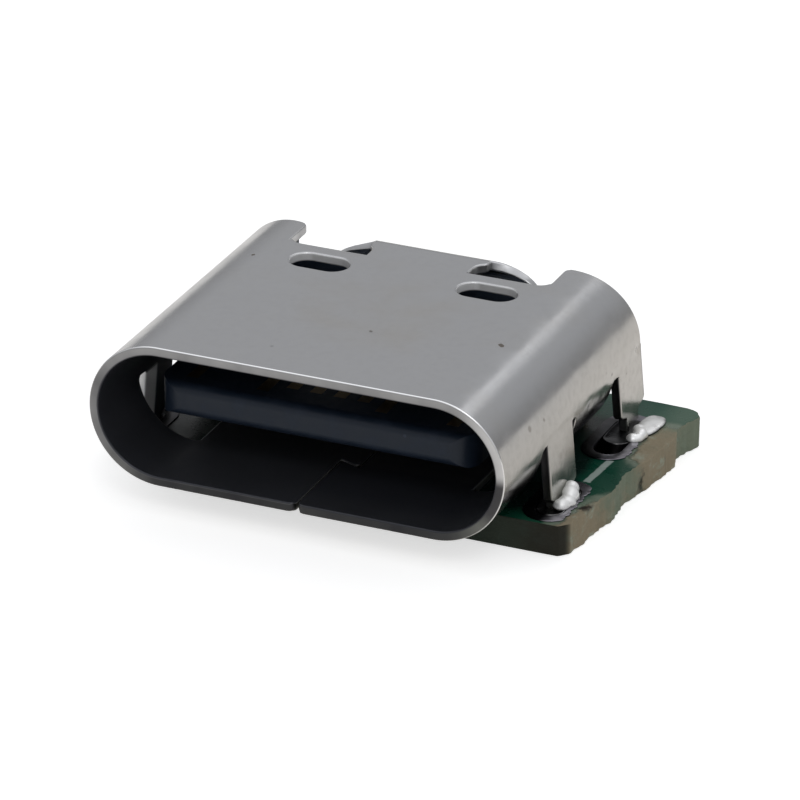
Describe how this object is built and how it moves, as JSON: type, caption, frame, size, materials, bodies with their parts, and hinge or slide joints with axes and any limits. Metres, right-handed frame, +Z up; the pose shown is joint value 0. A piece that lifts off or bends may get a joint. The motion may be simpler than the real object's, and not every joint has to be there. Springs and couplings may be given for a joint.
{
  "type": "usb-c socket",
  "caption": "Folded steel shell round a contact tongue, soldered by its legs to a snapped-off scrap of green circuit board.",
  "frame": {"origin": "centre of the plug mouth, in the plane of the shell's front lip", "axes": "+X to the right seen from the mouth, +Y into the socket, +Z up from the board"},
  "size_m": [0.0106, 0.0075, 0.0036],
  "materials": {
    "shell_steel": "satin stainless sheet, lightly rolled grain",
    "black_moulding": "black moulded plastic",
    "plate_steel": "plain stainless sheet",
    "gilt_contact": "gilded copper alloy strip",
    "board_laminate": "glass-fibre laminate under green solder mask",
    "tinned_copper": "tinned copper",
    "solder": "bright tin solder"
  },
  "bodies": {
    "root": {"shell": "shell_steel", "housing": "black_moulding", "mid_plate": "plate_steel", "upper_ground_plate": "plate_steel", "lower_ground_plate": "plate_steel", "contact_a1": "gilt_contact", "contact_a4": "gilt_contact", "contact_a5": "gilt_contact", "contact_a6": "gilt_contact", "contact_a7": "gilt_contact", "contact_a8": "gilt_contact", "contact_a9": "gilt_contact", "contact_a12": "gilt_contact", "contact_b1": "gilt_contact", "contact_b4": "gilt_contact", "contact_b5": "gilt_contact", "contact_b6": "gilt_contact", "contact_b7": "gilt_contact", "contact_b8": "gilt_contact", "contact_b9": "gilt_contact", "contact_b12": "gilt_contact", "circuit_board": "board_laminate", "front_left_slot_plating": "tinned_copper", "front_right_slot_plating": "tinned_copper", "rear_left_slot_plating": "tinned_copper", "rear_right_slot_plating": "tinned_copper", "contact_pads": "tinned_copper", "front_left_solder": "solder", "front_right_solder": "solder", "rear_left_solder": "solder", "rear_right_solder": "solder", "tail_solder": "solder"}
  },
  "joints": []
}
